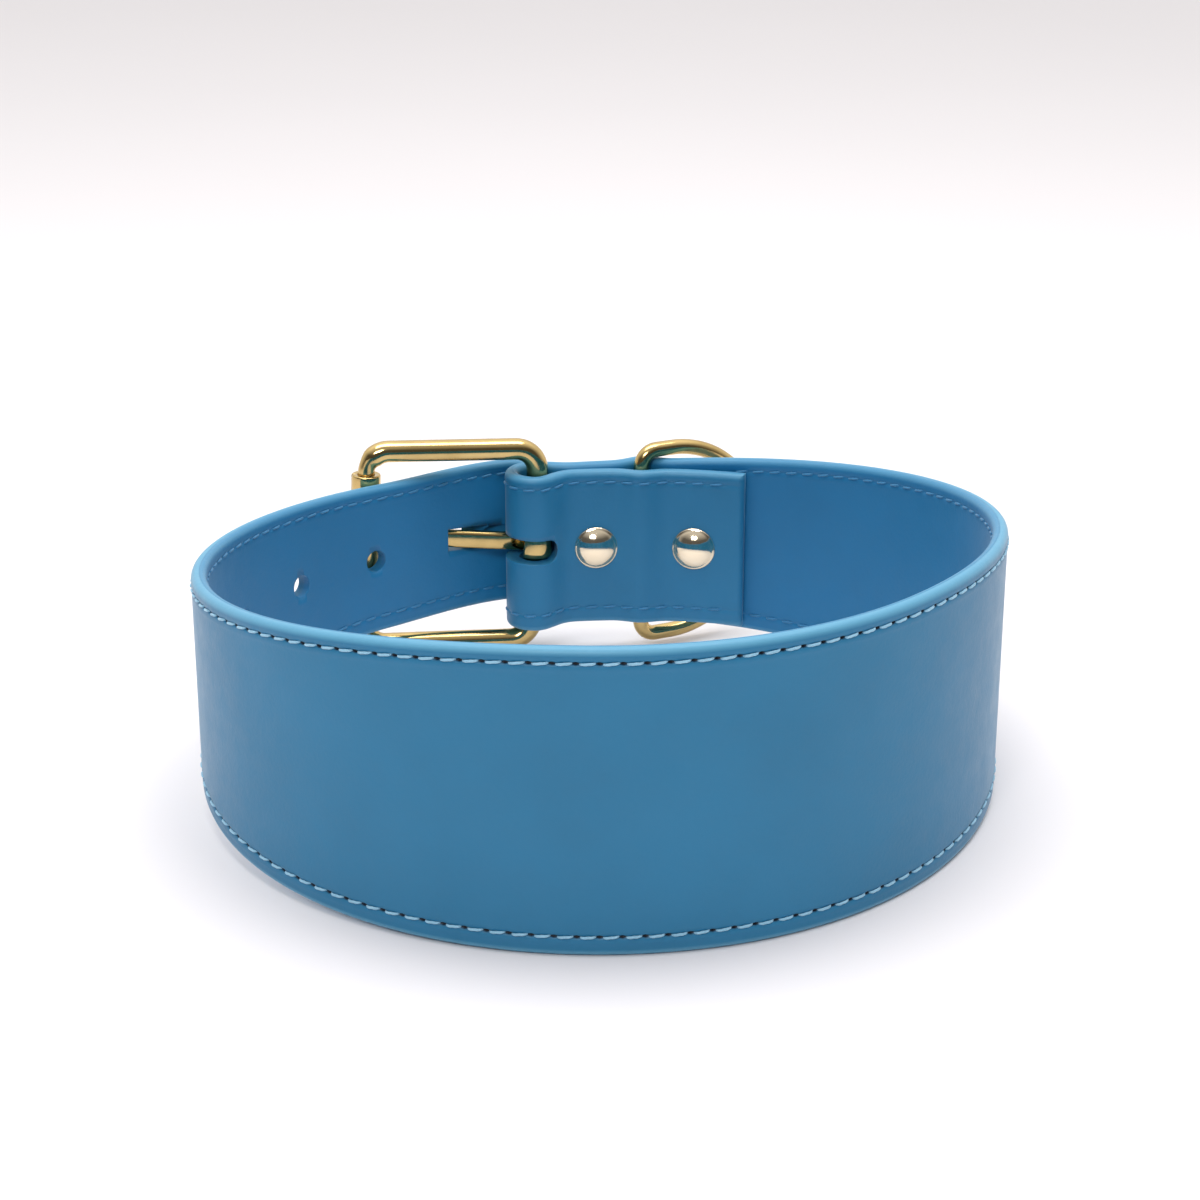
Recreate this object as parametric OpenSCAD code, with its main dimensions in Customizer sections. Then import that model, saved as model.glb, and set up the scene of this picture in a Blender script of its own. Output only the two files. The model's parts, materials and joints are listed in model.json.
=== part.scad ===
// Wide tapered buckle collar of two-layer leather, with a roller buckle, a D-ring and two cap rivets.
// Millimetres, +Z up. The collar stands on the lower edge of its widest part, which faces -Y.
// The origin is on the floor, under the middle of the whole collar.
// Angles along the strap are counted from the front (-Y) towards +X, so the buckle is near 180.

/* [Strap] */
// Width of the strap at its widest
strap_w = 50; // [46:0.5:54]
// Width where the strap folds round the heel bar
heel_w = 31.8; // [27:0.2:31.8]
// Width of the billet, the end with the holes
billet_w = 28.8; // [25:0.2:30]
// Width of the folded-back flap
flap_w = 31.2; // [26:0.2:31.2]
// Thickness of the outer leather
outer_t = 1.4; // [1.2:0.1:1.6]
// Thickness of the lining leather
lining_t = 1.2; // [1:0.1:1.4]
// Distance of each stitch row from the strap's edge
stitch_margin = 2.8; // [2.4:0.1:4]

/* [Loop] */
// Mean radius of the loop's outer face
loop_r = 67.8; // [66:0.2:70]
// Angle of the middle of the widest part
wide_at = 22.4; // [15:0.5:30]
// Angle on each side of it over which the width stays the same
wide_half = 25.6; // [20:0.5:30]
// Angle over which the strap tapers to each end
taper_span = 144.9; // [130:0.5:146]

/* [Hardware] */
// Diameter of the buckle's wire
frame_wire = 4.2; // [3.8:0.1:4.2]
// Height of the buckle's window
frame_window = 34.8; // [34.6:0.1:36]
// Diameter of the roller
roller_d = 5.6; // [5.2:0.1:5.8]
// Diameter of the D-ring's wire
ring_wire = 3; // [2.6:0.1:3]
// Height of the D-ring's opening
ring_opening = 35; // [34.8:0.1:36]
// Diameter of a rivet's cap
cap_d = 8.4; // [7.6:0.1:9]
// Diameter of the billet's holes
hole_d = 4.2; // [3.4:0.1:4.4]

/* [Hidden] */
$fn = 48;

// Clearance between pieces that move past each other, and of a turning fit
gap = 0.3;
fit = 0.05;

// Where the loop's own centre lies from the origin
loop_centre = [0.4, -4.4];

// How far the loop departs from a circle: [waves round the loop, height, angle of a crest]
bows = [[2, -2.1, 44.2], [3, 0.98, 32.3], [4, 0.3, 157]];

// The strap's layers and the rounding of its edges
strap_t = outer_t + lining_t;
edge_round = 0.5;
stitch_half = 0.4;
stitch_proud = 0.2;
stitch_apart = 1.2;
stitch_shift = 0.5;

// Drop of the strap's middle line below the middle of its widest part
heel_drop = 2.8;
billet_drop = 1.4;
flap_drop = 3;

// Further drop halfway along each taper
heel_sag = 0.4;
billet_sag = 1.4;

// Angles along the strap: heel bar, flap end, rivets, D-ring bar, roller, holes and billet tip
heel_at = 192.6;
flap_end_at = 155.2;
rivet_at = [181.6, 164];
ring_at = 173.5;
pocket_end = 166;
roller_at = -138.8;
hole_at = [-88.5, -104.9, -121.4, -137.7];
tip_from = -164;
tip_at = -173.6;

// The strap's bulge outwards at the heel bar
heel_spread = 2.2;

// The billet lies outside the main strap once past the roller
lift_from = -140;
lift_span = 26;
billet_lift = strap_t + heel_spread + 0.4;

// Fold round the heel bar, with room for the bar to lean, and the pocket that the D-ring's bar lies in
frame_r = frame_wire / 2;
frame_tilt = 2.5;
lean_room = 0.7;
fold_r = frame_r + gap + lean_room;
flap_gap = 0.2;
fold_run_out = 8.4;
ring_r = ring_wire / 2;
pocket_half = 6;
pocket_gap = ring_wire + 2 * 0.4;

// How far the strap stands out of the loop at the pocket, and over how long a run from the heel bar
pocket_bulge = 2.2;
spread_run = 9;

function ease(t) = let(u = min(max(t, 0), 1)) u * u * (3 - 2 * u);

// Outer face of the loop at angle a, and its outward direction
function loop_radius(a, i = 0) = i == len(bows) ? loop_r
    : bows[i][1] * cos(bows[i][0] * a - bows[i][2]) + loop_radius(a, i + 1);
function face(a) = [loop_radius(a) * sin(a), -loop_radius(a) * cos(a)];
function outward(a) = let(d = face(a + 0.05) - face(a - 0.05)) [d.y, -d.x] / norm(d);
function along(a) = let(n = outward(a)) [-n.y, n.x];
function at_depth(a, depth) = face(a) - depth * outward(a);

// Width and middle height of the strap at angle a
function taper(a) = ease((abs(a - wide_at) - wide_half) / taper_span);
function tip_shape(a) = a > tip_from ? 1 : sqrt(1 - pow((tip_from - a) / (tip_from - tip_at + 0.15), 2));
function width(a) = (strap_w - (strap_w - (a > wide_at ? heel_w : billet_w)) * taper(a)) * tip_shape(a);
function middle(a) = let(t = taper(a))
    strap_w / 2 - (a > wide_at ? heel_drop * t + 4 * heel_sag * t * (1 - t)
        : billet_drop * t + 4 * billet_sag * t * (1 - t));
function lift(a) = billet_lift * ease((lift_from - a) / lift_span);

// Free space between the main strap and the flap, at angle a
function run_from(a, b) = abs(a - b) * loop_r * PI / 180;
function bell(t) = abs(t) < 1 ? pow(cos(90 * t), 2) : 0;
function pocket(a) = bell(run_from(a, ring_at) / pocket_half);
function flap_space(a) = flap_gap + (2 * fold_r - flap_gap) * (1 - ease(run_from(a, heel_at) / fold_run_out))
    + (pocket_gap - flap_gap) * pocket(a);

// How far the main strap stands out there, and the depth of the flap's grain face under the loop's outer face
function bulge(a) = heel_spread * (1 - ease(run_from(a, heel_at) / spread_run)) + pocket_bulge * pocket(a);
function flap_depth(a) = 2 * strap_t + flap_space(a) - bulge(a);

// Stations along the strap, from the flap's end to the billet's tip:
// [point on the grain face, direction the grain faces, width, middle height]
flap_run = [for (a = [flap_end_at : 1.4 : heel_at - 0.5])
    [at_depth(a, flap_depth(a)), -outward(a), flap_w, strap_w / 2 - flap_drop]];
heel = at_depth(heel_at, strap_t + fold_r - heel_spread);
fold_run = [for (t = [180 : -15 : 15])
    let (n = outward(heel_at) * cos(t) + along(heel_at) * sin(t), s = t / 180)
    [heel + (strap_t + fold_r) * n, n, flap_w * s + width(heel_at) * (1 - s),
        (strap_w / 2 - flap_drop) * s + middle(heel_at) * (1 - s)]];
pocket_run = [for (a = [heel_at : -1.45 : pocket_end])
    [at_depth(a, -bulge(a)), outward(a), width(a), middle(a)]];
main_run = [for (a = [pocket_end : -3.65 : lift_from])
    [face(a), outward(a), width(a), middle(a)]];
billet_run = [for (a = [lift_from : -2.1 : tip_from])
    [at_depth(a, -lift(a)), outward(a), width(a), middle(a)]];
tip_run = [for (a = [tip_from - 1.2 : -1.2 : tip_at])
    [at_depth(a, -lift(a)), outward(a), width(a), middle(a)]];
strap_run = concat(flap_run, fold_run, pocket_run, main_run, billet_run, tip_run);

// The buckle: bar centres in plan, the direction from the heel bar to the roller, and the height of its middle
// at the heel bar; it leans so that its front end is the higher
roller_r = roller_d / 2;
front_bar = at_depth(roller_at, -(roller_r + gap + stitch_proud + lift(roller_at)));
frame_len = norm(front_bar - heel) / cos(frame_tilt);
frame_turn = atan2(front_bar.y - heel.y, front_bar.x - heel.x);
frame_z = 22.6;
frame_half = (frame_window + frame_wire) / 2;
heel_corner = 4.4;
front_corner = 4.2;
front_bar_r = 1.6;
roller_len = 2 * (frame_half - front_corner) - gap;

// The prong: height of its plate, thickness, and how far it rises towards its tip
prong_h = 4.2;
prong_t = 2.2;
prong_rise = 2.5;
loop_wall = 1.3;
prong_tip = frame_len + 2.6;
prong_seat = roller_r + gap + 0.15;
prong_swing = 8;
prong_root = frame_r + fit + loop_wall;

// The D-ring: heights, corners, reach and the angle it lies at
ring_half = (ring_opening + ring_wire) / 2;
ring_corner = 3.2;
ring_arm = 3.4;
ring_z = middle(ring_at) + width(ring_at) / 2 + 0.4 - ring_opening / 2;
ring_bar = at_depth(ring_at, strap_t - bulge(ring_at) + pocket_gap / 2);
ring_turn = 26;

// The rivets: post, heads and the height of their caps
post_r = 1.5;
rivet_z = 22;
cap_h = 1.9;
head_h = 1.1;
cap_lift = 2 * gap / 3;
cap_bore = 0.9;
post_fit = 0.01;

// One ring of section points [depth under the grain face, height] at a station
function ring_points(s, section) = [for (p = section(s[2] / 2))
    [s[0].x - p.x * s[1].x, s[0].y - p.x * s[1].y, s[3] + p.y]];

// A closed solid through the sections at every station of the strap
module sweep(section) {
    count = len(section(1));
    last = len(strap_run) - 1;
    points = [for (s = strap_run) each ring_points(s, section)];
    sides = [for (i = [0 : last - 1], j = [0 : count - 1])
        let (a = i * count + j, b = i * count + (j + 1) % count)
        each [[a, b, b + count], [a, b + count, a + count]]];
    first_end = [for (j = [count - 1 : -1 : 0]) j];
    last_end = [for (j = [0 : count - 1]) last * count + j];
    polyhedron(points, concat([first_end], sides, [last_end]));
}

// Places its children upright on a point of the loop's plan, turned by an angle
module stand_at(point, turn = 0, z = 0)
    translate([point.x, point.y, z]) rotate([0, 0, turn]) children();

// Places its children on the buckle: +X from the heel bar to the roller, +Z along the heel bar
module on_buckle() stand_at(heel, frame_turn, frame_z) rotate([0, -frame_tilt, 0]) children();

// Places its children with +Z along the outward direction at angle a, with depth under the face
module through_strap(a, depth, z)
    stand_at(at_depth(a, depth), atan2(outward(a).y, outward(a).x), z) rotate([0, 90, 0]) children();

// Slot in the fold for the prong's loop, and the opening in the billet that lets the prong through and rock
module prong_space() {
    slot_back = 4;
    fold_out = fold_r + strap_t + gap / 2;
    slot_h = prong_h + 1.2;
    from = fold_out + 1;
    to = frame_len + 4;
    on_buckle() translate([-slot_back, -fold_out, -slot_h / 2])
        cube([slot_back + fold_out + 1, 2 * fold_out, slot_h]);
    on_buckle() rotate([0, -prong_rise, 0]) linear_extrude(prong_h + 0.6, center = true)
        polygon([[from, prong_t - prong_root + gap], [to, gap - prong_seat],
            [to, -prong_seat - prong_t - gap - to * tan(prong_swing)],
            [from, -prong_root - gap - from * tan(prong_swing)]]);
}

module strap_holes() {
    for (a = hole_at) through_strap(a, 0, middle(a))
        cylinder(h = 4 * strap_t, d = hole_d, center = true);
    for (a = rivet_at) through_strap(a, strap_t, rivet_z)
        cylinder(h = 4 * strap_t, r = post_r + fit, center = true);
    prong_space();
}

module stitch_row(side) sweep(function(h) let (z = stitch_shift + side * max(h - stitch_margin, stitch_apart))
    [[0, z - stitch_half], [0, z + stitch_half],
        [-stitch_proud, z + stitch_half / 2], [-stitch_proud, z - stitch_half / 2]]);

module outer_leather() color([0.22, 0.47, 0.62]) translate(loop_centre) difference() {
    sweep(function(h) [[0, edge_round - h], [0, h - edge_round], [edge_round, h],
        [outer_t, h], [outer_t, -h], [edge_round, -h]]);
    strap_holes();
}

module lining_leather() color([0.19, 0.44, 0.60]) translate(loop_centre) difference() {
    sweep(function(h) [[outer_t, -h], [outer_t, h], [strap_t - edge_round, h],
        [strap_t, h - edge_round], [strap_t, edge_round - h], [strap_t - edge_round, -h]]);
    strap_holes();
}

module upper_stitching() color([0.55, 0.75, 0.86]) translate(loop_centre) stitch_row(1);

module lower_stitching() color([0.55, 0.75, 0.86]) translate(loop_centre) stitch_row(-1);

// A quarter bend of wire in the local XZ plane, round its own centre
module bend(r, wire_r, from)
    rotate([90, 0, 0]) rotate([0, 0, from]) rotate_extrude(angle = 90) translate([r, 0]) circle(wire_r);

module buckle_frame() color([0.80, 0.66, 0.40]) translate(loop_centre)
    on_buckle() {
        cylinder(h = 2 * (frame_half - heel_corner), r = frame_r, center = true);
        translate([frame_len, 0, 0])
            cylinder(h = 2 * (frame_half - front_corner), r = front_bar_r, center = true);
        for (side = [-1, 1]) {
            translate([heel_corner, 0, side * frame_half]) rotate([0, 90, 0])
                cylinder(h = frame_len - heel_corner - front_corner, r = frame_r);
            translate([heel_corner, 0, side * (frame_half - heel_corner)])
                bend(heel_corner, frame_r, side > 0 ? 90 : 180);
            translate([frame_len - front_corner, 0, side * (frame_half - front_corner)])
                bend(front_corner, frame_r, side > 0 ? 0 : 270);
        }
    }

module buckle_roller() color([0.84, 0.70, 0.44]) translate(loop_centre)
    on_buckle() translate([frame_len, 0, 0]) difference() {
        cylinder(h = roller_len, r = roller_r, center = true);
        cylinder(h = roller_len + 1, r = front_bar_r + fit, center = true);
    }

module buckle_prong() color([0.82, 0.68, 0.42]) translate(loop_centre)
    on_buckle() difference() {
        union() {
            cylinder(h = prong_h, r = prong_root, center = true);
            rotate([0, -prong_rise, 0]) linear_extrude(prong_h - 0.6, center = true)
                polygon([[0, prong_t - prong_root], [0, -prong_root], [prong_tip - 1.2, -prong_seat - prong_t],
                    [prong_tip, -prong_seat - prong_t + 0.8], [prong_tip, -prong_seat - 0.3],
                    [prong_tip - 0.5, -prong_seat]]);
        }
        cylinder(h = 3 * prong_h, r = frame_r + fit, center = true);
    }

module d_ring() color([0.82, 0.68, 0.42]) translate(loop_centre)
    stand_at(ring_bar, ring_turn, ring_z) {
        arc_at = ring_corner + ring_arm;
        cylinder(h = 2 * (ring_half - ring_corner), r = ring_r, center = true);
        for (side = [-1, 1]) {
            translate([ring_corner, 0, side * (ring_half - ring_corner)])
                bend(ring_corner, ring_r, side > 0 ? 90 : 180);
            translate([ring_corner, 0, side * ring_half]) rotate([0, 90, 0])
                cylinder(h = ring_arm, r = ring_r);
        }
        translate([arc_at, 0, 0]) rotate([90, 0, 0]) rotate([0, 0, -90])
            rotate_extrude(angle = 180) translate([ring_half, 0]) circle(ring_r);
    }

// A domed cap of the given height, its flat face at z = 0
module dome(d, h) {
    ball_r = (d * d / 4 + h * h) / (2 * h);
    intersection() {
        translate([0, 0, h - ball_r]) sphere(ball_r);
        cylinder(h = h + 1, d = d);
    }
}

// Thickness of both straps together at rivet i
function stack(i) = 2 * strap_t + flap_space(rivet_at[i]);

// Length of rivet i's post under its head, ending just short of the bottom of the cap's bore
function post_len(i) = stack(i) + 2 * cap_lift + cap_bore - post_fit;

module rivet_post(i) color([0.90, 0.80, 0.62]) translate(loop_centre)
    through_strap(rivet_at[i], -bulge(rivet_at[i]) - cap_lift, rivet_z) {
        dome(cap_d, head_h);
        translate([0, 0, -post_len(i)]) cylinder(h = post_len(i) + head_h / 2, r = post_r);
    }

module rivet_cap(i) color([0.90, 0.80, 0.62]) translate(loop_centre)
    through_strap(rivet_at[i], flap_depth(rivet_at[i]) + cap_lift, rivet_z) mirror([0, 0, 1]) difference() {
        dome(cap_d, cap_h);
        translate([0, 0, -1]) cylinder(h = 1 + cap_bore, r = post_r + post_fit);
    }

outer_leather();
lining_leather();
upper_stitching();
lower_stitching();
buckle_frame();
buckle_roller();
buckle_prong();
d_ring();
rivet_post(0);  // rivet_post_1
rivet_post(1);  // rivet_post_2
rivet_cap(0);  // rivet_cap_1
rivet_cap(1);  // rivet_cap_2
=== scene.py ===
"""The looks of a wide tapered two-layer leather buckle collar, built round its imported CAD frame."""

import json
import math

import bpy
import numpy as np
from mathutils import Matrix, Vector

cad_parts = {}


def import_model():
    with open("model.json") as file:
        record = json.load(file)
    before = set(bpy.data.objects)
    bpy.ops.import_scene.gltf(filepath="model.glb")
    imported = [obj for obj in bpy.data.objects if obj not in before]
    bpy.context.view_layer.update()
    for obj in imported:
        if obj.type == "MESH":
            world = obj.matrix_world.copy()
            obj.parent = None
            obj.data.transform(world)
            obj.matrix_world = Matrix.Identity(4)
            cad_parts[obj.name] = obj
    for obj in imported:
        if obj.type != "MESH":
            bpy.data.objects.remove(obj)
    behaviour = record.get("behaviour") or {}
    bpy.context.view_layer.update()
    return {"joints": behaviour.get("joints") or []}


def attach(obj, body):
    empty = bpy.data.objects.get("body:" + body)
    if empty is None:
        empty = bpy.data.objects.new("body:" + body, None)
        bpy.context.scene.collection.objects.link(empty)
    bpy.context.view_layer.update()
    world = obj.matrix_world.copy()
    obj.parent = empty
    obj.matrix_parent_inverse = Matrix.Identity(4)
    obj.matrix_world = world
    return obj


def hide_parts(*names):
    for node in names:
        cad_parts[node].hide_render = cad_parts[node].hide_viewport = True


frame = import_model()
MM = 0.001
JOINTS = {joint["name"]: joint for joint in frame["joints"]}

# The strap, in millimetres, as the CAD draws it. Angles run from the front (-Y) towards +X.
STRAP_W, HEEL_W, BILLET_W, FLAP_W = 50.0, 31.8, 28.8, 31.2
OUTER_T, LINING_T = 1.4, 1.2
STRAP_T = OUTER_T + LINING_T
LOOP_CENTRE = np.array([0.4, -4.4])
LOOP_R = 67.8
BOWS = ((2, -2.1, 44.2), (3, 0.98, 32.3), (4, 0.3, 157.0))
WIDE_AT, WIDE_HALF, TAPER_SPAN = 22.4, 25.6, 144.9
HEEL_DROP, BILLET_DROP, FLAP_DROP = 2.8, 1.4, 3.0
HEEL_SAG, BILLET_SAG = 0.4, 1.4
HEEL_AT, FLAP_END_AT, RING_AT, RIVETS_AT = 192.6, 155.2, 173.5, (181.6, 164.0)
LIFT_FROM, LIFT_SPAN, BILLET_LIFT = -140.0, 26.0, STRAP_T + 2.6
TIP_FROM, TIP_AT = -164.0, -173.75
HOLES_AT, HOLE_R = (-88.5, -104.9, -121.4, -137.7), 2.1
FOLD_R, FLAP_GAP, FOLD_RUN_OUT = 3.1, 0.2, 8.4
POCKET_HALF, POCKET_GAP, POCKET_BULGE = 6.0, 3.8, 2.2
HEEL_SPREAD, SPREAD_RUN = 2.2, 9.0

# The stitching and the edges
PITCH = 3.49
FIRST_HOLE = 0.68
MARGIN = 2.8
ROW_SHIFT = 0.5
THREAD_R = 0.22
EDGE_R = 1.1
COLUMNS_PER_STITCH = 8

# Points along the flap, the fold and the loop, the even step they are brought to, and the smoothing
FLAP_POINTS, FOLD_POINTS, LOOP_POINTS = 499, 199, 5000
STEP, LINE_BLUR, WIDTH_BLUR = 0.1, 0.9, 1.5

# The hardware
FRAME_R, FRONT_BAR_R, FRAME_HALF = 2.1, 1.6, 19.5
HEEL_CORNER, FRONT_CORNER = 4.4, 4.2
FRAME_TILT = 2.5
ROLLER_R, ROLLER_BORE, ROLLER_LEN = 2.8, 1.65, 30.3
PRONG_H, PRONG_T, PRONG_WALL, PRONG_RISE = 4.2, 2.2, 1.3, 2.5
RING_R, RING_HALF, RING_CORNER, RING_ARM, RING_TURN = 1.5, 19.0, 3.2, 3.4, 26.0
CAP_R, CAP_H, HEAD_H, POST_R = 4.2, 1.9, 1.1, 1.5
RIVET_Z = 22.0


def ease(t):
    u = np.clip(t, 0, 1)
    return u * u * (3 - 2 * u)


def bell(t):
    return np.where(np.abs(t) < 1, np.cos(np.clip(t, -1, 1) * math.pi / 2) ** 2, 0)


def degrees_to_run(a, b):
    return np.abs(a - b) * LOOP_R * math.pi / 180


# ---------------------------------------------------------------- the strap's line
def loop_point(a):
    """The loop's outer face at angle a."""
    r = LOOP_R + sum(h * np.cos(np.radians(n * a - crest)) for n, h, crest in BOWS)
    return np.stack([r * np.sin(np.radians(a)), -r * np.cos(np.radians(a))], -1) + LOOP_CENTRE


def outward(a):
    d = loop_point(a + 0.05) - loop_point(a - 0.05)
    return np.stack([d[..., 1], -d[..., 0]], -1) / np.linalg.norm(d, axis=-1, keepdims=True)


def at_depth(a, depth):
    return loop_point(a) - np.asarray(depth)[..., None] * outward(a)


def pocket(a):
    return bell(degrees_to_run(a, RING_AT) / POCKET_HALF)


def bulge(a):
    """How far the main strap stands out of the loop at the fold and at the D-ring's pocket."""
    return HEEL_SPREAD * (1 - ease(degrees_to_run(a, HEEL_AT) / SPREAD_RUN)) + POCKET_BULGE * pocket(a)


def flap_depth(a):
    """Depth of the flap's grain face under the outer face."""
    fold = (2 * FOLD_R - FLAP_GAP) * (1 - ease(degrees_to_run(a, HEEL_AT) / FOLD_RUN_OUT))
    ring = (POCKET_GAP - FLAP_GAP) * pocket(a)
    return 2 * STRAP_T + FLAP_GAP + fold + ring - bulge(a)


def taper(a):
    return ease((np.abs(a - WIDE_AT) - WIDE_HALF) / TAPER_SPAN)


def middle_at(a):
    """Height of the strap's middle line at angle a."""
    t = taper(a)
    drop, sag = np.where(a > WIDE_AT, HEEL_DROP, BILLET_DROP), np.where(a > WIDE_AT, HEEL_SAG, BILLET_SAG)
    return STRAP_W / 2 - drop * t - 4 * sag * t * (1 - t)


def flap_line():
    """Points, width and middle height from the flap's end to the heel bar."""
    a = np.linspace(FLAP_END_AT, HEEL_AT, FLAP_POINTS + 1)[:-1]
    same = np.ones_like(a)
    return at_depth(a, flap_depth(a)), FLAP_W * same, (STRAP_W / 2 - FLAP_DROP) * same


def fold_line():
    """The same, half round the heel bar."""
    heel = at_depth(np.array(HEEL_AT), STRAP_T + FOLD_R - HEEL_SPREAD)
    out = outward(np.array(HEEL_AT))
    along = np.array([-out[1], out[0]])
    t = np.linspace(math.pi, 0, FOLD_POINTS + 1)[:-1, None]
    share = t[:, 0] / math.pi
    heel_w = STRAP_W - (STRAP_W - HEEL_W) * taper(HEEL_AT)
    heel_z = float(middle_at(np.array(HEEL_AT)))
    return (heel + (STRAP_T + FOLD_R) * (out * np.cos(t) + along * np.sin(t)),
            FLAP_W * share + heel_w * (1 - share),
            (STRAP_W / 2 - FLAP_DROP) * share + heel_z * (1 - share))


def loop_line(a):
    """The same, from the heel bar round the loop and over itself to the billet's tip."""
    lift = BILLET_LIFT * ease((LIFT_FROM - a) / LIFT_SPAN)
    end_w = np.where(a > WIDE_AT, HEEL_W, BILLET_W)
    return (at_depth(a, -lift - np.where(a > 90, bulge(a), 0)),
            STRAP_W - (STRAP_W - end_w) * taper(a), middle_at(a))


def smoothed(values, sigma, step):
    """Values at an even step, smoothed, with the ends carried on straight."""
    n = int(4 * sigma / step)
    weights = np.exp(-0.5 * (np.arange(-n, n + 1) * step / sigma) ** 2)
    weights /= weights.sum()
    before = 2 * values[0] - values[n:0:-1]
    after = 2 * values[-1] - values[-2:-n - 2:-1]
    return np.convolve(np.concatenate([before, values, after]), weights, "valid")


class Strap:
    """The strap as a ribbon: a place for every run along it (s) and height from its middle (z), in mm."""

    def __init__(self):
        angle = np.linspace(HEEL_AT, TIP_AT, LOOP_POINTS)
        parts = zip(flap_line(), fold_line(), loop_line(angle))
        points, width, middle = (np.concatenate(part) for part in parts)
        run = np.concatenate([[0], np.cumsum(np.linalg.norm(np.diff(points, axis=0), axis=1))])
        self.s = np.arange(0, run[-1], STEP)
        even = [np.interp(self.s, run, points[:, k]) for k in (0, 1)]
        self.line = np.stack([smoothed(line, LINE_BLUR, STEP) for line in even], 1)
        tangent = np.gradient(self.line, STEP, axis=0)
        tangent /= np.linalg.norm(tangent, axis=1, keepdims=True)
        self.normals = np.stack([-tangent[:, 1], tangent[:, 0]], 1)
        self.width = smoothed(np.interp(self.s, run, width), WIDTH_BLUR, STEP)
        self.middle = smoothed(np.interp(self.s, run, middle), WIDTH_BLUR, STEP)
        loop_start = FLAP_POINTS + FOLD_POINTS
        self.run_at = lambda a: float(np.interp(-a, -angle, run[loop_start:]))
        self.length = float(self.s[-1])
        self.front = self.run_at(0)
        self.fold_end = float(run[loop_start])
        self.tip = self.run_at(TIP_FROM)
        self.tip_length = self.length - self.tip
        self.tip_half = float(np.interp(self.tip, self.s, self.width)) / 2

    def half(self, s):
        """Half the strap's height at s, with the rounded tip."""
        round_off = np.sqrt(np.clip(1 - (np.clip(s - self.tip, 0, None) / self.tip_length) ** 2, 0.0004, 1))
        return np.interp(s, self.s, self.width) / 2 * round_off

    def edge_distance(self, s, z, with_end=True):
        """How far a point of the ribbon lies inside its outline."""
        side = self.half(s) - np.abs(z)
        u = np.clip(s - self.tip, 0, None) / self.tip_length
        v = z / self.tip_half
        f = np.sqrt(u * u + v * v) + 1e-9
        slope = np.sqrt((u / self.tip_length) ** 2 + (v / self.tip_half) ** 2) / f
        inside = np.where(u > 0, (1 - f) / (slope + 1e-9), side)
        return np.clip(np.minimum(inside, s if with_end else inside), 0, None)

    def place(self, s, z, depth):
        """Points in the row frame, in metres."""
        s, z, depth = np.broadcast_arrays(s, z, depth)
        at = [np.interp(s, self.s, self.line[:, k]) - depth * np.interp(s, self.s, self.normals[:, k])
              for k in (0, 1)]
        return np.stack([*at, np.interp(s, self.s, self.middle) + z], -1) * MM


strap = Strap()


def needle_holes():
    """The needle holes, in order, as (s, z): the upper row, round the tip, back along the lower row."""
    first = strap.front + FIRST_HOLE
    back = int((first - 2.2) / PITCH)
    ahead = int((strap.tip - first) / PITCH)
    runs = first + PITCH * np.arange(-back, ahead + 1)
    row = [(s, float(strap.half(s)) - MARGIN + ROW_SHIFT) for s in runs]
    low = [(s, ROW_SHIFT + MARGIN - float(strap.half(s))) for s in reversed(runs)]
    a, b = strap.tip_length - MARGIN, strap.tip_half - MARGIN
    t = np.linspace(math.pi / 2, -math.pi / 2, 400)
    curve = np.stack([strap.tip + a * np.cos(t), b * np.sin(t) + ROW_SHIFT], 1)
    curve = np.concatenate([[row[-1]], curve, [low[0]]])
    run = np.concatenate([[0], np.cumsum(np.linalg.norm(np.diff(curve, axis=0), axis=1))])
    count = round(run[-1] / PITCH)
    round_tip = [(float(np.interp(d, run, curve[:, 0])), float(np.interp(d, run, curve[:, 1])))
                 for d in np.linspace(0, run[-1], count + 1)[1:-1]]
    return np.array(row), np.array(round_tip), np.array(low)


UPPER_ROW, TIP_ROW, LOWER_ROW = needle_holes()
ALL_HOLES = np.concatenate([UPPER_ROW, TIP_ROW, LOWER_ROW])


def hole_closeness(s, z):
    """1 at the middle of a needle hole and 0 away from it."""
    best = np.full(s.shape, 9.0)
    for hs, hz in ALL_HOLES:
        near = np.abs(s[:, 0] - hs) < 1.2
        d = np.hypot((s[near] - hs) / 2.0, z[near] - hz)
        best[near] = np.minimum(best[near], d)
    return 1 - ease(best / 0.42)


# ---------------------------------------------------------------- meshes
def new_mesh(name, points, faces, smooth=True):
    mesh = bpy.data.meshes.new(name)
    mesh.from_pydata([tuple(p) for p in points], [], faces)
    mesh.update()
    mesh.polygons.foreach_set("use_smooth", [smooth] * len(mesh.polygons))
    piece = bpy.data.objects.new(name, mesh)
    bpy.context.scene.collection.objects.link(piece)
    return piece


def grid_faces(rows, columns, wrap=False):
    """Quads over rows of points, each row a ring, and the last row joined to the first if wrap."""
    faces = []
    for i in range(rows if wrap else rows - 1):
        a, b = i * columns, (i + 1) % rows * columns
        for j in range(columns):
            k = (j + 1) % columns
            faces.append((a + j, a + k, b + k, b + j))
    return faces


def point_attribute(piece, name, values):
    attribute = piece.data.attributes.new(name, "FLOAT", "POINT")
    attribute.data.foreach_set("value", np.asarray(values, np.float32).ravel())


def stations():
    """Runs along the strap that have a row of points: even, on the needle holes, and fine at both ends."""
    step = PITCH / COLUMNS_PER_STITCH
    first = strap.front + FIRST_HOLE
    even = first + step * np.arange(-int(first / step), int((strap.tip - first) / step))
    ends = np.array([0, 0.06, 0.17, 0.33, 0.55, 0.8])
    even = even[even > ends[-1] + 0.2]
    t = np.linspace(0, math.pi / 2, 34)[1:]
    return np.concatenate([ends, even, strap.tip + strap.tip_length * np.sin(t) * 0.9995])


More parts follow.
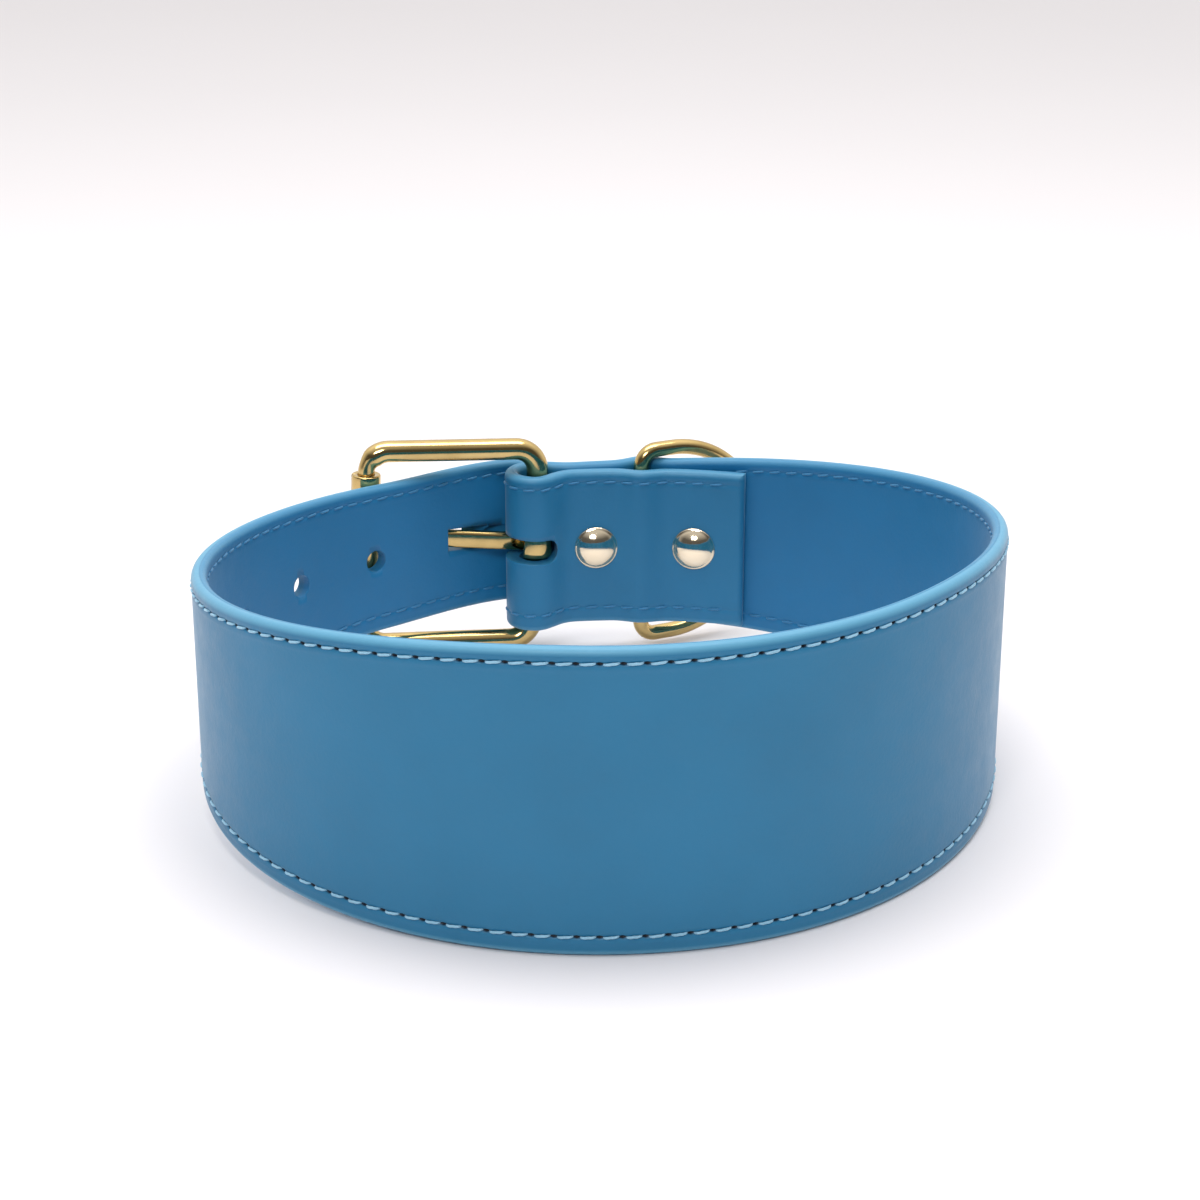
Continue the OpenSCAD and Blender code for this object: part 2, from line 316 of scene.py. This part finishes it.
def heights(half):
    """Heights across the strap, from the upper edge down, finer at the edges and the stitching."""
    steps = np.array([0, 0.06, 0.17, 0.33, 0.55, 0.85, 1.2, 1.6, 1.85, 2.0, 2.12, 2.21, 2.3, 2.39, 2.48,
                      2.6, 2.8, 3.0, 3.12, 3.21, 3.3, 3.39, 3.48, 3.6, 3.8, 4.2, 5.0, 6.2, 7.8])
    scale = np.minimum(1, half / 10)[:, None]
    upper = half[:, None] - steps * scale
    inner = upper[:, -1:] * np.linspace(1, -1, 9)[1:-1]
    return np.concatenate([upper, inner, -upper[:, ::-1]], 1)


def rounding(e, r=EDGE_R):
    inside = np.clip(e, 0, r)
    return r - np.sqrt(np.clip(r * r - (r - inside) ** 2, 0, None))


def surface_sink(s, z, e, hole, inside_loop, grain):
    """How far the face lies under flat: round edges, the stitch rows' creases, needle holes and wear."""
    row = np.abs(strap.edge_distance(s, z, with_end=False) - MARGIN + ROW_SHIFT * np.sign(z))
    groove = 0.16 * (1 - ease(row / 0.6)) - 0.04 * (1 - ease(np.abs(row - 1.0) / 0.5))
    sunk = rounding(e) + groove * (1 - 0.6 * inside_loop) + 0.5 * hole
    rng = np.random.default_rng(7 if grain else 8)
    sway = smoothed(rng.normal(0, 1, s.shape[0]), 14, 1)[:s.shape[0]]
    return sunk + 0.08 * sway[:, None] * (1 - ease((row + 1) / 6))


def layer_ring(z, face, grain):
    """Heights and depths of a whole section: the face, one wall, the flat glued side and the other wall."""
    wall = np.array([0.25, 0.6, 0.93]) if grain else np.array([0.25, 0.55, 0.92])
    rim = EDGE_R if grain else STRAP_T - EDGE_R
    wall_depth = rim + (OUTER_T - rim) * wall
    tuck = np.where(wall > 0.9, 0.0, -0.03 if grain else -0.02)
    upper, lower, middle = z[:, :1], z[:, -1:], z[:, z.shape[1] // 2:z.shape[1] // 2 + 1]
    flat = np.full_like(upper, OUTER_T)
    all_z = [z, lower - tuck, lower + 0.1, middle, upper - 0.1, (upper + tuck)[:, ::-1]]
    all_d = [face, wall_depth + 0 * lower, flat, flat, flat, (wall_depth + 0 * upper)[:, ::-1]]
    return np.concatenate(all_z, 1), np.concatenate(all_d, 1)


def leather_layer(name, grain):
    """One closed layer of leather. The grain layer's face looks outwards, and the lining's inwards."""
    s = stations()
    z = heights(strap.half(s))
    s = np.repeat(s[:, None], z.shape[1], 1)
    e = strap.edge_distance(s, z)
    inside_loop = 1 - ease((s - strap.fold_end) / 4) if grain else np.ones_like(s)
    hole = hole_closeness(s, z) * (1 - 0.75 * inside_loop)
    sunk = surface_sink(s, z, e, hole, inside_loop, grain)
    all_z, all_d = layer_ring(z, sunk if grain else STRAP_T - sunk, grain)
    columns = all_z.shape[1]
    all_s = np.repeat(s[:, :1], columns, 1)
    points = strap.place(all_s, all_z, all_d).reshape(-1, 3)
    faces = grid_faces(len(s), columns)
    faces.append(list(range(columns))[::-1])
    faces.append(list(range((len(s) - 1) * columns, len(s) * columns)))
    if grain:
        faces = [f[::-1] for f in faces]
    piece = new_mesh(name, points, faces)
    pad = columns - z.shape[1]
    side = strap.edge_distance(s, z, with_end=False)
    # Edge paint mask, also a painted highlight on the rims; cut to 0.45 on the lining and on the flap
    # inside the loop as painted shade.
    edge = (1 - ease((side - 0.6) / 0.6)) * (1 - 0.55 * inside_loop)
    point_attribute(piece, "edge", np.concatenate([edge, np.repeat(edge[:, :1], pad, 1)], 1))
    # The hole attribute carries the painted shade of the needle holes, outside the loop only.
    hole = hole * (1 - inside_loop)
    point_attribute(piece, "hole", np.concatenate([hole, np.zeros((len(s), pad))], 1))
    return piece


def cut(piece, *cutters):
    """Takes each cutter away from the piece and applies the cuts to its mesh; the cutters are left in
    place.
    """
    for cutter in cutters:
        modifier = piece.modifiers.new("cut", "BOOLEAN")
        modifier.object = cutter
        modifier.operation = "DIFFERENCE"
        modifier.solver = "MANIFOLD"
    bpy.context.view_layer.update()
    applied = bpy.data.meshes.new_from_object(piece.evaluated_get(bpy.context.evaluated_depsgraph_get()))
    piece.modifiers.clear()
    piece.data = applied


def prism(name, outline, low, high, matrix):
    """A closed prism over an outline in its own XY plane."""
    n = len(outline)
    points = [matrix(np.array([x, y, h])) for h in (low, high) for x, y in outline]
    faces = grid_faces(2, n) + [list(range(n))[::-1], list(range(n, 2 * n))]
    return new_mesh(name, points, faces, smooth=False)


def round_outline(half_x, half_y, radius, count=10, centre=(0, 0)):
    """A rectangle with round corners, anticlockwise."""
    corners = [(1, 1, 0), (-1, 1, 90), (-1, -1, 180), (1, -1, 270)]
    return [(centre[0] + sx * (half_x - radius) + radius * math.cos(math.radians(start + 90 * k / count)),
             centre[1] + sy * (half_y - radius) + radius * math.sin(math.radians(start + 90 * k / count)))
            for sx, sy, start in corners for k in range(count + 1)]


def frame_at(point, turn_deg, z, rise_deg=0.0):
    """A function from a piece's own millimetres to the row frame: turned about Z and raised along X."""
    turn, rise = math.radians(turn_deg), math.radians(rise_deg)
    cx, sx, cr, sr = math.cos(turn), math.sin(turn), math.cos(rise), math.sin(rise)

    def place(p):
        p = np.asarray(p, float)
        x, y, h = p[..., 0] * cr - p[..., 2] * sr, p[..., 1], p[..., 0] * sr + p[..., 2] * cr
        return np.stack([point[0] + cx * x - sx * y, point[1] + sx * x + cx * y, z + h], -1) * MM
    return place


HEEL = np.array(JOINTS["buckle_swing"]["pos_m"]) / MM
FRONT_BAR = np.array(JOINTS["roller_spin"]["pos_m"]) / MM
RING_BAR = np.array(JOINTS["ring_swing"]["pos_m"]) / MM
FRAME_LEN = float(np.linalg.norm(FRONT_BAR - HEEL))
FRAME_TURN = math.degrees(math.atan2(*(FRONT_BAR - HEEL)[1::-1]))


def across_strap(a, z):
    """A function that puts +Z along the outward direction at angle a, from the outer face."""
    at, out = loop_point(np.array(a)), outward(np.array(a))
    side = np.array([-out[1], out[0], 0])
    out = np.array([out[0], out[1], 0])
    at = np.array([at[0], at[1], z])

    def place(p):
        p = np.asarray(p, float)
        return (at + p[..., 0:1] * side + p[..., 1:2] * np.array([0, 0, 1.0]) + p[..., 2:3] * out) * MM
    return place


def strap_cutters():
    circle = [(HOLE_R * math.cos(t), HOLE_R * math.sin(t)) for t in np.linspace(0, 2 * math.pi, 33)[:-1]]
    made = []
    for i, a in enumerate(HOLES_AT):
        made.append(prism(f"hole_cut_{i}", circle, -6, 8, across_strap(a, float(middle_at(np.array(a))))))
    slot = frame_at(HEEL, FRAME_TURN, HEEL[2], FRAME_TILT)
    fold_out = STRAP_T + FOLD_R + 0.4
    upright = lambda p: slot(np.stack([p[..., 0], p[..., 2], p[..., 1]], -1))
    made.append(prism("slot_cut", [(x, y) for x, y in round_outline(6.8, 2.4, 2.2, centre=(3, 0))][::-1],
                      -fold_out, fold_out, upright))
    billet = frame_at(HEEL, FRAME_TURN, HEEL[2], FRAME_TILT + PRONG_RISE)
    side = [(7, -0.9), (FRAME_LEN + 3.2, -2.9), (FRAME_LEN + 3.2, -10.2), (7, -4.7)]
    made.append(prism("prong_cut", side[::-1], -2.2, 2.2, billet))
    return made


# ---------------------------------------------------------------- stitches
def stitches(name, holes, grain):
    """A thread stitch between each hole and the next, lying in the groove and dipping into the holes."""
    sides, rings = 12, 11
    t = np.linspace(0, 1, rings)
    phi = np.linspace(0, 2 * math.pi, sides + 1)[:-1]
    points, faces = [], []
    rng = np.random.default_rng(len(holes) + (0 if grain else 100))
    for (s0, z0), (s1, z1) in zip(holes[:-1], holes[1:]):
        d = np.array([s1 - s0, z1 - z0])
        length = np.hypot(*d)
        if length > 1.4 * PITCH:
            continue
        d /= length
        slant = 0.10 + rng.normal(0, 0.02)
        trim = 0.5
        u = trim + (length - 2 * trim) * t
        off = slant * (1 - 2 * t) * (1 if grain else -1)
        cs = s0 + d[0] * u - d[1] * off
        cz = z0 + d[1] * u + d[0] * off
        lift = 0.34 * (1 - np.abs(2 * t - 1) ** 5) - 0.30 + rng.normal(0, 0.01)
        radius = THREAD_R * (1 - 0.35 * np.abs(2 * t - 1) ** 4)
        lobes = 1 + 0.09 * np.cos(3 * (phi[None, :] + 5.5 * t[:, None]))
        across = radius[:, None] * lobes * np.cos(phi)
        up = radius[:, None] * lobes * np.sin(phi) * 0.92
        s = cs[:, None] - d[1] * across
        z = cz[:, None] + d[0] * across
        depth = -(lift[:, None] + up + 0.02)
        depth = depth if grain else STRAP_T - depth
        base = len(points)
        points.extend(strap.place(s, z, depth).reshape(-1, 3))
        ring = [tuple(base + i for i in f) for f in grid_faces(rings, sides)]
        ring.append(tuple(base + j for j in range(sides))[::-1])
        ring.append(tuple(base + (rings - 1) * sides + j for j in range(sides)))
        flip = (d[0] > 0) != grain
        faces.extend(f[::-1] for f in ring) if flip else faces.extend(ring)
    return new_mesh(name, points, faces)


# ---------------------------------------------------------------- hardware
def wire_loop(name, path, radii, place, sides=28):
    """A round wire swept along a closed path in its own XZ plane."""
    path = np.asarray(path, float)
    tangent = np.roll(path, -1, 0) - np.roll(path, 1, 0)
    tangent /= np.linalg.norm(tangent, axis=1, keepdims=True)
    normal = np.stack([tangent[:, 1], -tangent[:, 0]], 1)
    phi = np.linspace(0, 2 * math.pi, sides + 1)[:-1]
    r = np.broadcast_to(radii, (len(path),))[:, None]
    x = path[:, :1] + normal[:, :1] * r * np.cos(phi)
    z = path[:, 1:] + normal[:, 1:] * r * np.cos(phi)
    y = r * np.sin(phi)
    points = place(np.stack([x, y, z], -1)).reshape(-1, 3)
    return new_mesh(name, points, grid_faces(len(path), sides, wrap=True))


def bend_points(centre, r, start, sweep, count):
    t = np.radians(np.linspace(start, start + sweep, count))
    return np.stack([centre[0] + r * np.cos(t), centre[1] + r * np.sin(t)], 1)


def straight(a, b, count):
    return np.linspace(a, b, count + 2)[1:-1]


def buckle_frame():
    hc, fc, h, n = HEEL_CORNER, FRONT_CORNER, FRAME_HALF, FRAME_LEN
    path = np.concatenate([
        bend_points((hc, -h + hc), hc, 180, 90, 14), straight((hc, -h), (n - fc, -h), 10),
        bend_points((n - fc, -h + fc), fc, 270, 90, 12), straight((n, -h + fc), (n, h - fc), 24),
        bend_points((n - fc, h - fc), fc, 0, 90, 12), straight((n - fc, h), (hc, h), 10),
        bend_points((hc, h - hc), hc, 90, 90, 14), straight((0, h - hc), (0, -h + hc), 12)])
    thin = ease((path[:, 0] - (n - 1.4)) / 1.3)
    radii = FRAME_R - (FRAME_R - FRONT_BAR_R) * thin
    return wire_loop("buckle_wire", path, radii, frame_at(HEEL, FRAME_TURN, HEEL[2], FRAME_TILT))


def roller():
    """A rolled tube with rounded ends and a seam along it."""
    seam = 0.10
    lip = 0.3
    around = np.linspace(seam / 2, 2 * math.pi - seam / 2, 72)
    half, out, bore = ROLLER_LEN / 2, ROLLER_R, ROLLER_BORE
    profile = [(out, h) for h in (-half + lip, *np.linspace(-half + 2, half - 2, 6), half - lip)]
    profile += [(out - lip * (1 - math.cos(t)), half - lip + lip * math.sin(t)) for t in (0.5, 1.0, 1.57)]
    profile += [(bore + 0.1, half), (bore, half - 0.1), (bore, -half + 0.1), (bore + 0.1, -half)]
    profile += [(out - lip * (1 - math.cos(t)), -half + lip - lip * math.sin(t)) for t in (1.57, 1.0, 0.5)]
    place = frame_at(FRONT_BAR, FRAME_TURN, FRONT_BAR[2], FRAME_TILT)
    points = [place(np.array([r * math.cos(t), r * math.sin(t), h])) for t in around for r, h in profile]
    n = len(profile)
    faces = [f[::-1] for f in grid_faces(len(around), n)]
    faces += [list(range(n)), list(range((len(around) - 1) * n, len(around) * n))[::-1]]
    return new_mesh("roller_tube", points, faces)


def prong():
    """A flat-sided pin with its end curled round the heel bar and its point resting on the roller."""
    eye_r = FRAME_R + 0.05 + PRONG_WALL / 2
    curl = np.radians(np.linspace(40, 262, 34))
    eye = np.stack([eye_r * np.cos(curl), eye_r * np.sin(curl)], 1)
    root_y = -(FRAME_R + 0.05 + PRONG_WALL)
    tip_x = FRAME_LEN + 2.4
    x = np.linspace(0.6, tip_x, 40)
    outer = root_y + (-(ROLLER_R + 0.45) - PRONG_T - root_y) * x / tip_x
    thick = PRONG_WALL + (PRONG_T - PRONG_WALL) * ease((x - 0.5) / 5.5)
    nose = np.sqrt(np.clip(1 - (np.clip(x - tip_x + 2.0, 0, None) / 2.02) ** 2, 0.02, 1))
    shaft = np.stack([x, outer + thick / 2 + 0.25 * (1 - nose)], 1)
    path = np.concatenate([eye, shaft])
    half_t = np.concatenate([np.full(len(eye), PRONG_WALL / 2), thick / 2 * nose])
    half_h = np.concatenate([np.full(len(eye), PRONG_H / 2),
                             (PRONG_H / 2 - 0.35 * ease((x - 1) / 4) - 0.45 * ease((x - 12) / 22)) * nose])
    tangent = np.gradient(path, axis=0)
    tangent /= np.linalg.norm(tangent, axis=1, keepdims=True)
    normal = np.stack([-tangent[:, 1], tangent[:, 0]], 1)
    sides, power = 24, 0.62
    phi = np.linspace(0, 2 * math.pi, sides + 1)[:-1]
    cos, sin = np.cos(phi), np.sin(phi)
    bx, bz = np.sign(cos) * np.abs(cos) ** power, np.sign(sin) * np.abs(sin) ** power
    px = path[:, :1] + normal[:, :1] * half_t[:, None] * bx
    py = path[:, 1:] + normal[:, 1:] * half_t[:, None] * bx
    pz = half_h[:, None] * bz
    flat, raised = (frame_at(HEEL, FRAME_TURN, HEEL[2], FRAME_TILT + rise) for rise in (0, PRONG_RISE))
    points = np.stack([px, py, pz], -1)
    share = ease(np.arange(len(path)) / len(eye) - 0.6)[:, None, None]
    points = (flat(points) * (1 - share) + raised(points) * share).reshape(-1, 3)
    faces = grid_faces(len(path), sides)
    faces += [tuple(range(sides))[::-1], tuple((len(path) - 1) * sides + j for j in range(sides))]
    return new_mesh("prong_pin", points, faces)


def d_ring():
    c, arm, h = RING_CORNER, RING_ARM, RING_HALF
    path = np.concatenate([
        bend_points((c, -h + c), c, 180, 90, 12), straight((c, -h), (c + arm, -h), 3),
        bend_points((c + arm, 0), h, 270, 180, 64), straight((c + arm, h), (c, h), 3),
        bend_points((c, h - c), c, 90, 90, 12), straight((0, h - c), (0, -h + c), 16)])
    return wire_loop("d_ring_wire", path, RING_R, frame_at(RING_BAR[:2], RING_TURN, RING_BAR[2]))


def lathe(name, profile, place, around=56):
    """A closed turned shape from a profile of (radius, height) that starts and ends on the axis."""
    t = np.linspace(0, 2 * math.pi, around + 1)[:-1]
    inner = profile[1:-1]
    points = [place(np.array([0, 0, profile[0][1]])), place(np.array([0, 0, profile[-1][1]]))]
    points += [place(np.array([r * math.cos(a), r * math.sin(a), h])) for r, h in inner for a in t]
    faces = [tuple(2 + i for i in f) for f in grid_faces(len(inner), around)]
    last = 2 + (len(inner) - 1) * around
    for j in range(around):
        k = (j + 1) % around
        faces += [(0, 2 + k, 2 + j), (1, last + j, last + k)]
    return new_mesh(name, points, faces)


def dome_profile(r, h, rim=0.32):
    """A domed cap with a rolled rim, from its top to its underside."""
    ball = (r * r + h * h) / (2 * h)
    reach = r - rim * 0.8
    top = [(x, h - ball + math.sqrt(ball * ball - x * x)) for x in np.linspace(0, reach, 14)]
    z = top[-1][1]
    roll = [(reach + rim * 0.8 * math.sin(t), max(z - rim * (1 - math.cos(t)), 0.05))
            for t in np.linspace(0.5, 2.4, 6)]
    return top + roll + [(r - rim, 0.02), (r * 0.5, 0.0)]


def rivet(i):
    """Rivet i's cap on the flap, and its post with the outer head."""
    a = RIVETS_AT[i]
    outer = across_strap(a, RIVET_Z)
    flap = float(flap_depth(np.array(a)))
    inward = lambda p: outer(p * np.array([-1, 1, -1]) - np.array([0, 0, flap + 0.15]))
    cap = lathe(f"rivet_dome_{i + 1}", dome_profile(CAP_R, CAP_H) + [(0, 0.0)], inward)
    lifted = lambda p: outer(p + np.array([0, 0, 0.1]))
    head = dome_profile(CAP_R, HEAD_H)
    shaft = [(POST_R, -0.05), (POST_R, -flap - 0.4), (0, -flap - 0.4)]
    post = lathe(f"rivet_stud_{i + 1}", head + shaft, lifted)
    return cap, post


# ---------------------------------------------------------------- materials
def material(name):
    made = bpy.data.materials.new(name)
    made.use_nodes = True
    return made, made.node_tree.nodes, made.node_tree.links, made.node_tree.nodes["Principled BSDF"]


def add(nodes, kind, **values):
    """A new node. Lower-case values set its properties, and the others its inputs."""
    node = nodes.new(kind)
    for key, value in values.items():
        if hasattr(node, key) and not key[0].isupper():
            setattr(node, key, value)
        else:
            node.inputs[key.replace("_", " ")].default_value = value
    return node


def noise(nodes, links, coords, scale, detail=2.0, roughness=0.5):
    node = add(nodes, "ShaderNodeTexNoise", Scale=scale, Detail=detail, Roughness=roughness)
    links.new(coords, node.inputs["Vector"])
    return node.outputs["Fac"]


def remap(nodes, links, value, low, high, to_low, to_high):
    """A value stretched from one range to another and kept inside it."""
    node = add(nodes, "ShaderNodeMapRange")
    for key, number in (("From Min", low), ("From Max", high), ("To Min", to_low), ("To Max", to_high)):
        node.inputs[key].default_value = number
    links.new(value, node.inputs["Value"])
    return node.outputs["Result"]


def mix_colour(nodes, links, share, first, second):
    """A colour between two; each argument is a value or another node's output."""
    node = add(nodes, "ShaderNodeMix", data_type="RGBA")
    factor, a, b = node.inputs[0], node.inputs[6], node.inputs[7]
    for socket, value in ((factor, share), (a, first), (b, second)):
        if isinstance(value, bpy.types.NodeSocket):
            links.new(value, socket)
        else:
            socket.default_value = value
    return node.outputs[2]


def rgba(r, g, b):
    return (r, g, b, 1.0)


def leather(name, base, edge, roughness=0.46):
    """Smooth satin leather: fine pebble grain, slow colour changes, an edge colour that is edge paint and
    also a painted highlight, and painted shade in the needle holes.
    """
    made, nodes, links, shader = material(name)
    coords = add(nodes, "ShaderNodeTexCoord").outputs["Object"]
    slow = noise(nodes, links, coords, 38.0, 3.0, 0.55)
    cloud = noise(nodes, links, coords, 260.0, 4.0, 0.6)
    fine = noise(nodes, links, coords, 2300.0, 3.0, 0.6)
    pebble = add(nodes, "ShaderNodeTexVoronoi", feature="SMOOTH_F1", Scale=1150.0, Smoothness=0.7)
    links.new(coords, pebble.inputs["Vector"])
    light = [min(1, c * 1.06) for c in base]
    dark = [c * 0.94 for c in base]
    colour = mix_colour(nodes, links, remap(nodes, links, slow, 0.3, 0.7, 0, 1), rgba(*dark), rgba(*light))
    worn = mix_colour(nodes, links, remap(nodes, links, cloud, 0.35, 0.75, 0, 0.16), colour,
                      rgba(*[min(1, c * 1.15 + 0.004) for c in base]))
    # The edge colour is the edge paint, made lighter as a painted highlight on the rims.
    edge_paint_and_light_mask = add(nodes, "ShaderNodeAttribute", attribute_name="edge").outputs["Fac"]
    edge_paint_and_highlight = mix_colour(nodes, links, edge_paint_and_light_mask, worn, rgba(*edge))
    # Near-black in the needle holes: painted shade in the holes.
    hole_shade_mask = add(nodes, "ShaderNodeAttribute", attribute_name="hole").outputs["Fac"]
    with_hole_shade = mix_colour(nodes, links, remap(nodes, links, hole_shade_mask, 0.1, 0.5, 0, 1), edge_paint_and_highlight,
                         rgba(0.004, 0.007, 0.016))
    links.new(with_hole_shade, shader.inputs["Base Color"])
    uneven = remap(nodes, links, cloud, 0.3, 0.75, roughness - 0.05, roughness + 0.07)
    links.new(uneven, shader.inputs["Roughness"])
    shader.inputs["Specular IOR Level"].default_value = 0.4
    shader.inputs["Sheen Weight"].default_value = 0.12
    shader.inputs["Sheen Roughness"].default_value = 0.35
    grain = add(nodes, "ShaderNodeMath", operation="MULTIPLY_ADD")
    links.new(pebble.outputs["Distance"], grain.inputs[0])
    grain.inputs[1].default_value = 0.75
    links.new(fine, grain.inputs[2])
    bump = add(nodes, "ShaderNodeBump", Strength=0.22, Distance=0.00012)
    links.new(grain.outputs[0], bump.inputs["Height"])
    swell = add(nodes, "ShaderNodeBump", Strength=0.25, Distance=0.0006)
    links.new(noise(nodes, links, coords, 55.0, 2.0), swell.inputs["Height"])
    links.new(bump.outputs["Normal"], swell.inputs["Normal"])
    links.new(swell.outputs["Normal"], shader.inputs["Normal"])
    return made


def thread_material(name, dark, light):
    made, nodes, links, shader = material(name)
    coords = add(nodes, "ShaderNodeTexCoord").outputs["Object"]
    colour = mix_colour(nodes, links, noise(nodes, links, coords, 900.0), rgba(*dark), rgba(*light))
    links.new(colour, shader.inputs["Base Color"])
    shader.inputs["Roughness"].default_value = 0.55
    shader.inputs["Sheen Weight"].default_value = 0.25
    bump = add(nodes, "ShaderNodeBump", Strength=0.4, Distance=0.00005)
    links.new(noise(nodes, links, coords, 6500.0, 2.0), bump.inputs["Height"])
    links.new(bump.outputs["Normal"], shader.inputs["Normal"])
    return made


def metal(name, base, shade, roughness):
    """Polished plated metal with faint handling marks."""
    made, nodes, links, shader = material(name)
    coords = add(nodes, "ShaderNodeTexCoord").outputs["Object"]
    shader.inputs["Metallic"].default_value = 1.0
    smears = noise(nodes, links, coords, 130.0, 4.0, 0.6)
    share = remap(nodes, links, smears, 0.35, 0.7, 0, 1)
    colour = mix_colour(nodes, links, share, rgba(*base), rgba(*shade))
    links.new(colour, shader.inputs["Base Color"])
    handled = remap(nodes, links, smears, 0.3, 0.75, roughness, roughness + 0.1)
    links.new(handled, shader.inputs["Roughness"])
    stretch = add(nodes, "ShaderNodeMapping")
    stretch.inputs["Scale"].default_value = (1.0, 1.0, 7.0)
    links.new(coords, stretch.inputs["Vector"])
    bump = add(nodes, "ShaderNodeBump", Strength=0.12, Distance=0.00003)
    links.new(noise(nodes, links, stretch.outputs["Vector"], 900.0, 3.0), bump.inputs["Height"])
    links.new(bump.outputs["Normal"], shader.inputs["Normal"])
    return made


def paint(piece, made):
    piece.data.materials.clear()
    piece.data.materials.append(made)
    return piece


# ---------------------------------------------------------------- the pieces on their bodies
def put(piece, body, made, slot, *nodes):
    paint(piece, made)
    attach(piece, body)
    if nodes:
        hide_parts(*nodes)
    return piece


# Each leather's second colour is its edge paint, made lighter as a painted highlight on the rims.
OUTER = leather("outer_leather_blue", (0.015, 0.170, 0.330), (0.10, 0.325, 0.495))
LINING = leather("lining_leather_blue", (0.010, 0.165, 0.355), (0.095, 0.32, 0.49))
THREAD = thread_material("thread_pale", (0.22, 0.47, 0.65), (0.32, 0.58, 0.74))
DEEP_THREAD = thread_material("thread_deep", (0.016, 0.175, 0.36), (0.026, 0.205, 0.40))
GOLD = metal("gold_plate", (0.62, 0.45, 0.19), (0.50, 0.355, 0.14), 0.10)
PALE = metal("pale_gold_plate", (0.93, 0.80, 0.60), (0.88, 0.74, 0.53), 0.07)

cutters = strap_cutters()
outer_layer = leather_layer("outer_layer", grain=True)
lining_layer = leather_layer("lining_layer", grain=False)
for layer in (outer_layer, lining_layer):
    cut(layer, *cutters)
for cutter in cutters:
    bpy.data.objects.remove(cutter)
put(outer_layer, "strap", OUTER, "outer_leather", "outer_leather")
put(lining_layer, "strap", LINING, "lining_leather", "lining_leather")

half_way = len(TIP_ROW) // 2
upper_holes = np.concatenate([UPPER_ROW, TIP_ROW[:half_way + 1]])
lower_holes = np.concatenate([TIP_ROW[half_way:], LOWER_ROW])
past_fold = strap.run_at(FLAP_END_AT) - PITCH
for row_name, holes in (("upper", upper_holes), ("lower", lower_holes)):
    outside, flap = holes[holes[:, 0] > strap.fold_end - PITCH], holes[holes[:, 0] < strap.fold_end]
    put(stitches(f"{row_name}_thread", outside, True), "strap", THREAD, "thread", f"{row_name}_stitching")
    put(stitches(f"{row_name}_thread_flap", flap, True), "strap", DEEP_THREAD, "thread")
    inside = holes[holes[:, 0] > past_fold]
    put(stitches(f"{row_name}_thread_inside", inside, False), "strap", DEEP_THREAD, "thread")

put(buckle_frame(), "buckle", GOLD, "gold_hardware", "buckle_frame")
put(roller(), "roller", GOLD, "gold_hardware", "buckle_roller")
put(prong(), "prong", GOLD, "gold_hardware", "buckle_prong")
put(d_ring(), "ring", GOLD, "gold_hardware", "d_ring")
for i in (0, 1):
    cap, post = rivet(i)
    put(cap, "strap", PALE, "rivet_metal", f"rivet_cap_{i + 1}")
    put(post, "strap", PALE, "rivet_metal", f"rivet_post_{i + 1}")


# ---------------------------------------------------------------- stage, light and camera
def floor():
    reach = 3.0
    corners = [(-reach, -reach, 0), (reach, -reach, 0), (reach, reach, 0), (-reach, reach, 0)]
    piece = new_mesh("floor", corners, [(0, 1, 2, 3)], smooth=False)
    made, nodes, links, shader = material("floor_paper")
    coords = add(nodes, "ShaderNodeTexCoord").outputs["Object"]
    cloud = noise(nodes, links, coords, 3.0)
    tone = mix_colour(nodes, links, cloud, rgba(0.79, 0.76, 0.775), rgba(0.82, 0.79, 0.805))
    links.new(tone, shader.inputs["Base Color"])
    shader.inputs["Roughness"].default_value = 0.7
    paint(piece, made)


def world():
    """A pale studio: brightest overhead, behind and at the sides, and dimmer behind the camera."""
    made = bpy.data.worlds.new("studio")
    made.use_nodes = True
    bpy.context.scene.world = made
    nodes, links = made.node_tree.nodes, made.node_tree.links
    background = nodes["Background"]
    ways = add(nodes, "ShaderNodeSeparateXYZ")
    links.new(add(nodes, "ShaderNodeTexCoord").outputs["Generated"], ways.inputs[0])
    back = remap(nodes, links, ways.outputs["Y"], -0.45, 0.35, 0.10, 1.0)
    top = remap(nodes, links, ways.outputs["Z"], 0.45, 0.8, 0.0, 0.5)
    total = add(nodes, "ShaderNodeMath", operation="ADD")
    links.new(back, total.inputs[0])
    links.new(top, total.inputs[1])
    links.new(total.outputs[0], background.inputs["Strength"])
    background.inputs["Color"].default_value = rgba(1.0, 0.99, 0.98)


def softbox(name, at, aim, size, power):
    light = bpy.data.lights.new(name, "AREA")
    light.shape = "RECTANGLE"
    light.size, light.size_y = size
    light.energy = power
    lamp = bpy.data.objects.new(name, light)
    lamp.location = at
    lamp.rotation_euler = (Vector(aim) - Vector(at)).to_track_quat("-Z", "Y").to_euler()
    bpy.context.scene.collection.objects.link(lamp)


def camera():
    """In front of the loop's middle, above it, and looking down a little, as in the reference."""
    lens, down = 76.5, math.radians(20.21)
    data = bpy.data.cameras.new("camera")
    data.lens, data.sensor_width = lens, 36.0
    data.clip_start, data.clip_end = 0.01, 20.0
    viewer = bpy.data.objects.new("camera", data)
    viewer.location = (LOOP_CENTRE[0] * MM - 0.00063, LOOP_CENTRE[1] * MM - 0.41056, 0.1842)
    viewer.rotation_euler = (math.pi / 2 - down, 0, 0)
    bpy.context.scene.collection.objects.link(viewer)
    bpy.context.scene.camera = viewer


floor()
world()
softbox("overhead", (0.0, 0.05, 0.75), (0, 0, 0), (0.7, 0.35), 3.6)
softbox("front", (-0.15, -0.85, 0.75), (0, 0, 0.02), (0.42, 0.26), 4.1)
camera()
bpy.context.scene.view_settings.view_transform = "Standard"
